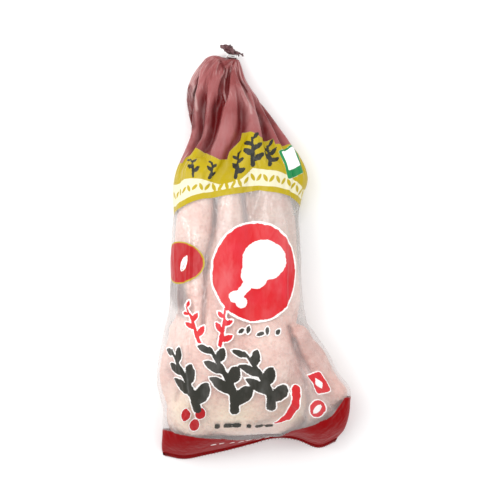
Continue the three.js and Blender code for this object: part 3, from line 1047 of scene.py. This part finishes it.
# %% Write the inks to the film
INK_REACH = 8.0  # mm on either side of an ink's edge for which its distance is kept


def point_attribute(piece, name, values):
    """One number for every point of a piece, for its material to read."""
    attribute = piece.data.attributes.new(name, "FLOAT", "POINT")
    attribute.data.foreach_set("value", np.asarray(values, np.float32))


def over_tail(field, value):
    """A field of the body's rings, carried on over the neck and the tail."""
    tail = np.full((len(film_rings) - ROWS, COLUMNS), value)
    return np.append(np.concatenate([field, tail]).ravel(), value)


for name, field in ink.items():
    beyond = -INK_REACH if name == "wine" else INK_REACH
    point_attribute(film, name, over_tail(np.clip(field, -INK_REACH, INK_REACH), beyond))

# %% Write the folds to the film
# how far it has sunk into a crease, which sets a painted shade there, and how sharply it is bent over a
# ridge, which sets a painted highlight there
sunk = ((flat_rings - folded) * normals_of(flat_rings)).sum(axis=2)
# painted shade in creases and in the shaded places
point_attribute(film, "crease", over_tail(np.maximum(smooth(1.0, 9, sunk), shaded), 0.3))
bend = (np.roll(folded, 1, axis=1) + np.roll(folded, -1, axis=1)) / 2 - folded
step = np.linalg.norm(np.roll(folded, -1, axis=1) - np.roll(folded, 1, axis=1), axis=2) / 2
sharpness = -2 * (bend * normals_of(folded)).sum(axis=2) / np.maximum(step, 0.2) ** 2
print("sharpness of ridges, percentiles:", np.percentile(sharpness[150:], (50, 80, 90, 97)).round(3))
# painted highlight: how strongly each sharp ridge is lightened
point_attribute(film, "ridge", over_tail(smooth(0.15, 0.6, sharpness) * 0.45, 0.0))
# painted highlight streaks along some folds
point_attribute(film, "painted_highlight", over_tail(painted_highlight, 0.0))
# painted shade over hollows of the bird
point_attribute(film, "hollow_shade_amount", over_tail(hollow_shade, 0.0))
point_attribute(film, "tail", over_tail(np.zeros(AROUND.shape), 0.85))
point_attribute(film, "gather", over_tail(smooth(60, 200, folded[..., 1]), 1.0))
# bare film gets a grey veil towards the legs, most on their right, which is partly haze and partly painted
# shade, and it is milky where it stands off the skin
mist_and_shade = smooth(-70, 30, folded[..., 1]) * (0.25 + 0.75 * smooth(-70, 10, folded[..., 0]))
point_attribute(film, "mist_and_shade", over_tail(mist_and_shade, 0.0))
point_attribute(film, "off_skin", over_tail(smooth(4, 18, read_field(SKIN_FIELD, folded)), 1.0))
print("attributes:", [a.name for a in film.data.attributes if a.data_type == "FLOAT"])

# %% [markdown]
# ## Materials
# Thin printed film is one sheet of clear plastic with ink on it. Bare film barely shows, but it
# mirrors lamps, most where it is seen edge on, and looks milky where it stands off the wet skin. It
# gets a grey veil over the legs, partly haze and partly painted shade, and painted shade over
# hollows of the bird. Ink hides what is behind it. On the print, pale sheen streaks and highlights
# on ridges and along some folds are painted, and so is shade in the wine film's creases. So one
# material does both: the inks are mixed over each other in the order of their list, and the one
# that hides most sets how opaque the film is. Two materials would need a mesh that is cut along
# each ink.

# %% A helper for node trees
class Nodes:
    """Adds nodes to a tree. An input is a number, a colour, or another node's output."""

    def __init__(self, tree):
        self.tree = tree

    def feed(self, node, inputs):
        for key, value in inputs.items():
            if isinstance(value, bpy.types.NodeSocket):
                self.tree.links.new(value, node.inputs[key])
            else:
                node.inputs[key].default_value = value

    def add(self, kind, inputs=None, **settings):
        node = self.tree.nodes.new(kind)
        for key, value in settings.items():
            setattr(node, key, value)
        self.feed(node, inputs or {})
        return node

    def math(self, operation, a, b=0.0, clamp=False):
        return self.add("ShaderNodeMath", {0: a, 1: b}, operation=operation, use_clamp=clamp).outputs[0]

    def ramp(self, value, low, high, to_low=0.0, to_high=1.0):
        inputs = {"Value": value, "From Min": low, "From Max": high, "To Min": to_low, "To Max": to_high}
        return self.add("ShaderNodeMapRange", inputs).outputs["Result"]

    def mix(self, factor, a, b):
        return self.add("ShaderNodeMix", {0: factor, 6: a, 7: b}, data_type="RGBA").outputs[2]

    def attribute(self, name):
        return self.add("ShaderNodeAttribute", attribute_name=name).outputs["Fac"]

    def noise(self, place, scale, detail=3.0, roughness=0.5):
        inputs = {"Vector": place, "Scale": scale, "Detail": detail, "Roughness": roughness}
        return self.add("ShaderNodeTexNoise", inputs).outputs["Fac"]


def new_material(name):
    """A material, its nodes, its shader, and the place on the piece in metres."""
    material = bpy.data.materials.new(name)
    material.use_nodes = True
    tree = material.node_tree
    shader = tree.nodes["Principled BSDF"]
    nodes = Nodes(tree)
    place = nodes.add("ShaderNodeTexCoord").outputs["Object"]
    return material, nodes, shader, place


def colour(red, green, blue):
    """A screen colour from 0 to 255 as the linear colour that shaders use."""
    values = np.array([red, green, blue]) / 255
    linear = np.where(values <= 0.04045, values / 12.92, ((values + 0.055) / 1.055) ** 2.4)
    return (*linear.tolist(), 1.0)


# %% Printed film
# Each ink's colour, how much it hides and how rough its edge is. A later one lies over an earlier.
INKS = {
    "burgundy": (colour(142, 12, 16), 1.0, 0.05),
    "wine": (colour(142, 70, 70), 0.97, 0.05),
    "mustard": (colour(176, 154, 8), 0.98, 0.05),
    "cream": (colour(220, 215, 184), 0.96, 0.05),
    "white": (colour(250, 247, 245), 0.86, 0.5),
    "green": (colour(20, 128, 70), 0.97, 0.05),
    "red": (colour(200, 24, 32), 0.97, 0.9),
    "crimson": (colour(172, 12, 22), 0.99, 0.5),
    "charcoal": (colour(44, 44, 38), 0.97, 0.9),
}
EDGE = 0.22  # half the width of an ink's soft edge, in mm
# painted shade in creases and shaded places, and darker wine at random
WINE_SHADE_AND_DARK_CLOUD = colour(98, 20, 22)
WINE_PALE = colour(178, 116, 116)
# a painted highlight, the pale tone on sharp ridges of the wine film
RIDGE_HIGHLIGHT_TONE = colour(222, 190, 188)  # in patches on sharp ridges
TAIL_GREY = colour(108, 82, 84)
TAIL_DARK = colour(66, 46, 50)
RED_PALE = colour(210, 48, 64)
# the pale tone of painted highlight streaks along folds
PAINTED_HIGHLIGHT_TONE = colour(206, 176, 172)  # in the rubbed places
BARE_FILM = colour(222, 216, 214)
# grey of the veil over the legs: partly haze, partly painted shade
HAZE_AND_SHADE_FILM = colour(190, 182, 176)
# painted shade: the dark grey of bare film over hollows
HOLLOW_SHADE_TONE = colour(112, 98, 96)
BARE_GLOSS, PRINT_GLOSS = 2.5, 1.4  # index of refraction, higher where alpha thins the gloss too
BARE_ROUGHNESS, PRINT_ROUGHNESS = 0.2, 0.34
BARE_SHINE, PRINT_SHINE = 0.5, 0.3
LOW_SHINE = 0.15  # of the burgundy end, as a share of the rest's
# painted sheen: pale crinkle streaks that lighten the print
PAINTED_SHEEN = 0.11  # how far pale crinkles veil the print past the burgundy end
CLEAREST, MISTIEST = 0.1, 0.38  # opacity of bare film where it isn't misty and where it is
# the last is how much painted shade over hollows adds to the opacity
MILKY, PATCHY, GRAZED, HOLLOW_SHADE_OPACITY = 0.2, 0.08, 0.35, 0.3  # and what each of these adds to it


def film_material():
    material, nodes, shader, place = new_material("printed_film")
    brush = nodes.math("SUBTRACT", nodes.noise(place, 700, 4, 0.65), 0.5)
    wobble = nodes.math("SUBTRACT", nodes.noise(place, 130, 2), 0.5)
    brush = nodes.math("ADD", brush, nodes.math("MULTIPLY", wobble, 1.6))
    crinkle = nodes.add("ShaderNodeMapping", {"Vector": place, "Scale": (1.0, 0.45, 1.0)}).outputs[0]
    # how much painted shade the wine film gets in its creases
    deep = nodes.attribute("crease")
    cloud = nodes.noise(place, 28, 3)
    # patches in which sharp ridges get a painted highlight
    ridge_highlight_patches = nodes.ramp(nodes.noise(place, 55, 3), 0.42, 0.62, 0.0, 0.8)
    hollow_shade_amount = nodes.attribute("hollow_shade_amount")
    # grey veil over the legs, partly haze and partly painted shade
    mixed = nodes.mix(nodes.attribute("mist_and_shade"), BARE_FILM, HAZE_AND_SHADE_FILM)
    # painted shade over hollows: darker bare film
    mixed = nodes.mix(hollow_shade_amount, mixed, HOLLOW_SHADE_TONE)
    cover = 0.0
    for name, (tone, hiding, rough) in INKS.items():
        away = nodes.math("ADD", nodes.attribute(name), nodes.math("MULTIPLY", brush, rough * 2.2))
        mask = nodes.ramp(away, -EDGE, EDGE, 1.0, 0.0)
        if name == "wine":
            tone = nodes.mix(nodes.ramp(cloud, 0.4, 0.75, 0, 0.6), tone, WINE_PALE)
            # painted shade: darker wine in creases, and at random where the cloud is low
            tone = nodes.mix(nodes.math("ADD", deep, nodes.ramp(cloud, 0.45, 0.2, 0, 0.4)), tone, WINE_SHADE_AND_DARK_CLOUD)
            specks = nodes.ramp(nodes.noise(place, 520, 2), 0.42, 0.58)
            tone = nodes.mix(nodes.attribute("tail"), tone, nodes.mix(specks, TAIL_GREY, TAIL_DARK))
            # painted highlight: pale patches on sharp ridges
            tone = nodes.mix(nodes.math("MULTIPLY", nodes.attribute("ridge"), ridge_highlight_patches), tone, RIDGE_HIGHLIGHT_TONE)
        if name == "red":
            tone = nodes.mix(nodes.ramp(cloud, 0.42, 0.68, 0, 0.7), tone, RED_PALE)
        mixed = nodes.mix(mask, mixed, tone)
        cover = nodes.math("MAXIMUM", cover, nodes.math("MULTIPLY", mask, hiding))
    graze = nodes.add("ShaderNodeLayerWeight", {"Blend": 0.35}).outputs["Facing"]
    low_end = nodes.ramp(nodes.attribute("burgundy"), -2, 2)
    # painted sheen: pale crinkle streaks lighten the print, but not on the burgundy end
    sheen_streaks = nodes.math("MULTIPLY", nodes.ramp(nodes.noise(crinkle, 34, 4, 0.6), 0.48, 0.75), PAINTED_SHEEN)
    sheen_streaks = nodes.math("MULTIPLY", sheen_streaks, low_end)
    mixed = nodes.mix(sheen_streaks, mixed, BARE_FILM)
    # painted highlight: pale streaks along some folds
    mixed = nodes.mix(nodes.attribute("painted_highlight"), mixed, PAINTED_HIGHLIGHT_TONE)
    milky = nodes.math("MULTIPLY", nodes.attribute("off_skin"), MILKY)
    patchy = nodes.ramp(nodes.noise(place, 60, 4, 0.6), 0.45, 0.7, 0.0, PATCHY)
    bare = nodes.math("ADD", nodes.math("ADD", milky, patchy), nodes.math("MULTIPLY", graze, GRAZED))
    # the veil over the legs, partly haze and partly painted shade, makes bare film more opaque
    bare = nodes.math("ADD", bare, nodes.ramp(nodes.attribute("mist_and_shade"), 0, 1, CLEAREST, MISTIEST))
    # painted shade over hollows also makes the bare film more opaque
    bare = nodes.math("ADD", bare, nodes.math("MULTIPLY", hollow_shade_amount, HOLLOW_SHADE_OPACITY))
    alpha = nodes.math("MAXIMUM", bare, cover, clamp=True)
    ridge = nodes.math("ABSOLUTE", nodes.math("SUBTRACT", nodes.noise(crinkle, 42, 3, 0.5), 0.5))
    height = nodes.math("ADD", nodes.noise(crinkle, 120, 3, 0.5), nodes.math("MULTIPLY", ridge, -5.0))
    facet = nodes.add("ShaderNodeTexVoronoi", {"Vector": crinkle, "Scale": 110.0}, feature="F1")
    facets = nodes.math("MULTIPLY", facet.outputs["Distance"], nodes.attribute("gather"))
    height = nodes.math("ADD", height, nodes.math("MULTIPLY", facets, 2.5))
    bump = nodes.add("ShaderNodeBump", {"Height": height, "Strength": 0.6, "Distance": 0.0012})
    shine = nodes.ramp(cover, 0, 1, BARE_SHINE, PRINT_SHINE)
    shine = nodes.math("MULTIPLY", shine, nodes.ramp(low_end, 0, 1, LOW_SHINE, 1))
    gloss = nodes.ramp(cover, 0, 1, BARE_GLOSS, PRINT_GLOSS)
    roughness = nodes.ramp(cover, 0, 1, BARE_ROUGHNESS, PRINT_ROUGHNESS)
    nodes.feed(shader, {"Base Color": mixed, "Alpha": alpha, "Normal": bump.outputs["Normal"]})
    nodes.feed(shader, {"IOR": gloss, "Roughness": roughness, "Specular IOR Level": shine})
    return material


film.data.materials.append(film_material())
print("inks:", list(INKS))

# %% [markdown]
# ## The skin
# Raw skin is pale, moist and a little see-through. It is creamy over fat and pink where meat lies
# close under it, and its folds are darker and redder, which is painted shade. The differences are
# attributes of the mesh, worked out from how far each point is from the places where the real bird
# shows them, and for the folds from how deep they are.
# A painted picture of them would need the bird unwrapped first.

# %% Skin
# middle and reach of the places where meat and fat show
FLUSHED = [((42, -96, 60), 20), ((30, -84, 70), 16), ((60, -112, 60), 22), ((-70, -118, 70), 22)]
FLUSHED += [((-45, 20, 60), 18), ((10, -30, 84), 20), ((-40, -40, 80), 22), ((90, -156, 42), 22)]
FLUSHED += [((74, -128, 46), 26), ((-22, -60, 80), 30), ((62, -108, 50), 20), ((50, -130, 60), 14)]
FLUSHED += [((-36, -146, 86), 18), ((-86, -134, 44), 18), ((8, -150, 84), 14)]
FATTY = [((-72, -170, 60), 26), ((40, -168, 62), 22), ((-20, -172, 76), 26), ((30, -10, 60), 18)]
SKIN_PALE, SKIN_PINK = colour(235, 209, 198), colour(221, 181, 170)
FAT_TONE, MEAT_TONE = colour(250, 233, 202), colour(198, 138, 126)
# the first is painted shade in the skin's folds
FOLD_SHADE_TONE, PORE_TONE = colour(142, 92, 86), colour(196, 140, 122)


def near_places(points, places):
    """How near points are to any of some places, from 0 to 1."""
    total = np.zeros(len(points))
    for middle, reach in places:
        total += np.exp(-((np.linalg.norm(points - np.array(middle), axis=1) / reach) ** 2))
    return np.clip(total, 0, 1)


point_attribute(chicken, "flush", near_places(bird_points, FLUSHED))
point_attribute(chicken, "fat", near_places(bird_points, FATTY))
# painted shade in the skin's folds, from how deep they are
point_attribute(chicken, "fold_shade", smooth(1.0, 7.0, fold_depth(bird_points)))


def skin_material():
    material, nodes, shader, place = new_material("raw_skin")
    blotch = nodes.noise(place, 42, 5, 0.6)
    veil = nodes.noise(place, 120, 4, 0.6)
    tone = nodes.mix(nodes.ramp(blotch, 0.35, 0.68), SKIN_PALE, SKIN_PINK)
    tone = nodes.mix(nodes.math("MULTIPLY", nodes.attribute("fat"), 0.7), tone, FAT_TONE)
    flush = nodes.math("MULTIPLY", nodes.attribute("flush"), nodes.ramp(veil, 0.3, 0.7, 0.25, 0.8))
    tone = nodes.mix(flush, tone, MEAT_TONE)
    # painted shade: darker, redder skin in the folds
    tone = nodes.mix(nodes.math("MULTIPLY", nodes.attribute("fold_shade"), 0.75), tone, FOLD_SHADE_TONE)
    pores = nodes.add("ShaderNodeTexVoronoi", {"Vector": place, "Scale": 230.0}, feature="SMOOTH_F1")
    dots = nodes.ramp(pores.outputs["Distance"], 0.1, 0.5, 0.22, 0.0)
    tone = nodes.mix(dots, tone, PORE_TONE)
    height = nodes.math("ADD", nodes.math("MULTIPLY", pores.outputs["Distance"], 0.7), veil)
    bump = nodes.add("ShaderNodeBump", {"Height": height, "Strength": 0.9, "Distance": 0.002})
    nodes.feed(shader, {"Base Color": tone, "Normal": bump.outputs["Normal"], "Roughness": 0.42})
    light_in_skin = (0.006, 0.0025, 0.0018)  # metres that red, green and blue light wander
    nodes.feed(shader, {"Subsurface Weight": 0.15, "Subsurface Radius": light_in_skin})
    nodes.feed(shader, {"Subsurface Scale": 1.0})
    return material


skin = skin_material()
chicken.data.materials.append(skin)
print("skin attributes:", [a.name for a in chicken.data.attributes if a.data_type == "FLOAT"])

# %% [markdown]
# ## Small things that repeat
# Two of them are made by Geometry Nodes: the bumps where feathers grew, scattered over the skin,
# and the ribs that the sealing jaws press into the weld. Each tree has its sizes as inputs and
# ends in real geometry, which is then turned into a plain mesh. The bumps wear the skin's own
# material. The ribs have one of their own, as the film's reads the print from the film's points.

# %% A helper for Geometry Nodes
def node_result(name, source, build, sizes, material):
    """The mesh that a node tree makes of a source object, as an object of its own."""
    tree = bpy.data.node_groups.new(name, "GeometryNodeTree")
    tree.interface.new_socket("Geometry", in_out="INPUT", socket_type="NodeSocketGeometry")
    tree.interface.new_socket("Geometry", in_out="OUTPUT", socket_type="NodeSocketGeometry")
    for key in sizes:
        tree.interface.new_socket(key, in_out="INPUT", socket_type="NodeSocketFloat")
    nodes = Nodes(tree)
    start, end = nodes.add("NodeGroupInput"), nodes.add("NodeGroupOutput")
    grown = build(nodes, start)
    real = nodes.add("GeometryNodeRealizeInstances", {"Geometry": grown})
    done = nodes.add("GeometryNodeSetMaterial", {"Geometry": real.outputs[0]})
    done.inputs["Material"].default_value = material
    tree.links.new(done.outputs[0], end.inputs["Geometry"])
    modifier = source.modifiers.new(name, "NODES")
    modifier.node_group = tree
    for item in tree.interface.items_tree:
        if item.name in sizes:
            modifier[item.identifier] = sizes[item.name]
    evaluated = source.evaluated_get(bpy.context.evaluated_depsgraph_get())
    mesh = bpy.data.meshes.new_from_object(evaluated)
    source.modifiers.remove(modifier)
    piece = bpy.data.objects.new(name, mesh)
    bpy.context.scene.collection.objects.link(piece)
    return piece


# %% Bumps where feathers grew


BUMP_SIZES = {"Spacing": 4.4 * MM, "Radius": 1.0 * MM}
BUMP_HEIGHT = 0.45  # as a share of its radius
SMALLEST_BUMP, LARGEST_BUMP = 0.6, 1.2  # likewise
MOST_BUMPS = 400000.0  # on a square metre, before those that are too close are taken out


def scattered_bumps(nodes, start):
    """Flattened balls of differing size, spread over a mesh and turned to lie on it."""
    places = {"Mesh": start.outputs["Geometry"], "Distance Min": start.outputs["Spacing"]}
    places.update({"Density Max": MOST_BUMPS, "Seed": 5})
    scatter = nodes.add("GeometryNodeDistributePointsOnFaces", places, distribute_method="POISSON")
    bump = nodes.add("GeometryNodeMeshIcoSphere", {"Radius": start.outputs["Radius"], "Subdivisions": 1})
    shape = {"Geometry": bump.outputs["Mesh"], "Scale": (1, 1, BUMP_HEIGHT)}
    flat = nodes.add("GeometryNodeTransform", shape)
    chance = {2: SMALLEST_BUMP, 3: LARGEST_BUMP, "Seed": 3}
    size = nodes.add("FunctionNodeRandomValue", chance, data_type="FLOAT")
    copies = {"Points": scatter.outputs["Points"], "Instance": flat.outputs[0]}
    copies.update({"Rotation": scatter.outputs["Rotation"], "Scale": size.outputs[1]})
    return nodes.add("GeometryNodeInstanceOnPoints", copies).outputs[0]


bumps = node_result("skin_bumps", chicken, scattered_bumps, BUMP_SIZES, skin)
print("skin bumps, faces:", len(bumps.data.polygons))

# %% Ribs of the weld
RIB_PITCH = 2  # columns of the film from rib to rib
RIB_MARGIN = 10  # columns without ribs at each end
RIB_SIZES = {"Width": 0.5 * MM, "Length": 5.0 * MM, "Height": 0.5 * MM}
BURGUNDY_DEEP = colour(112, 14, 18)


def ribs(nodes, start):
    """A bar on every point of a line."""
    points = nodes.add("GeometryNodeMeshToPoints", {"Mesh": start.outputs["Geometry"]})
    sides = {"X": start.outputs["Width"], "Y": start.outputs["Length"], "Z": start.outputs["Height"]}
    size = nodes.add("ShaderNodeCombineXYZ", sides).outputs[0]
    bar = nodes.add("GeometryNodeMeshCube", {"Size": size})
    inputs = {"Points": points.outputs[0], "Instance": bar.outputs["Mesh"]}
    return nodes.add("GeometryNodeInstanceOnPoints", inputs).outputs[0]


def pressed_material():
    material, nodes, shader, place = new_material("pressed_film")
    cloud = nodes.noise(place, 160, 3)
    tone = nodes.mix(nodes.ramp(cloud, 0.35, 0.7), INKS["burgundy"][0], BURGUNDY_DEEP)
    nodes.feed(shader, {"Base Color": tone, "Roughness": PRINT_ROUGHNESS})
    return material


weld_row = int(np.searchsorted(ALONG, WELD / 2))
rib_places = film_rings[weld_row, RIB_MARGIN : COLUMNS // 2 - RIB_MARGIN : RIB_PITCH]
rib_line = mesh_piece("rib_line", rib_places, [])
weld_ribs = node_result("weld_ribs", rib_line, ribs, RIB_SIZES, pressed_material())
bpy.data.objects.remove(rib_line)
print("weld ribs, faces:", len(weld_ribs.data.polygons))

# %% [markdown]
# ## The clip
# The neck is held by a short piece of soft metal that is pressed round it. The solid already
# has that form, so it stays as it is and only gets its material: pale metal with fine scratches,
# which are a bump. Real scratches would be too small to see.

# %% The clip's metal
METAL_BRIGHT, METAL_DULL = colour(246, 246, 246), colour(212, 210, 208)


def clip_material():
    material, nodes, shader, place = new_material("dull_wire")
    scratch = nodes.noise(place, 900, 3, 0.6)
    tone = nodes.mix(nodes.ramp(scratch, 0.35, 0.7), METAL_BRIGHT, METAL_DULL)
    bump = nodes.add("ShaderNodeBump", {"Height": scratch, "Strength": 0.3, "Distance": 0.0003})
    nodes.feed(shader, {"Base Color": tone, "Normal": bump.outputs["Normal"]})
    nodes.feed(shader, {"Metallic": 1.0, "Roughness": 0.3})
    return material


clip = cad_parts["neck_clip"]
clip.data.materials.clear()
clip.data.materials.append(clip_material())
print("clip's material:", clip.data.materials[0].name)

# %% [markdown]
# ## How it all holds together
# Nothing on the pack moves by itself, so the film, the bird, its bumps and the weld's ribs ride
# the part's root. They take the place of the solid bag, and the clip's solid stays.

# %% Ride and replace
slots = ((film, "film"), (chicken, "chicken_skin"), (bumps, "chicken_skin"), (weld_ribs, "film"))
for piece, slot in slots:
    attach(piece, "root")
    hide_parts("filled_bag")
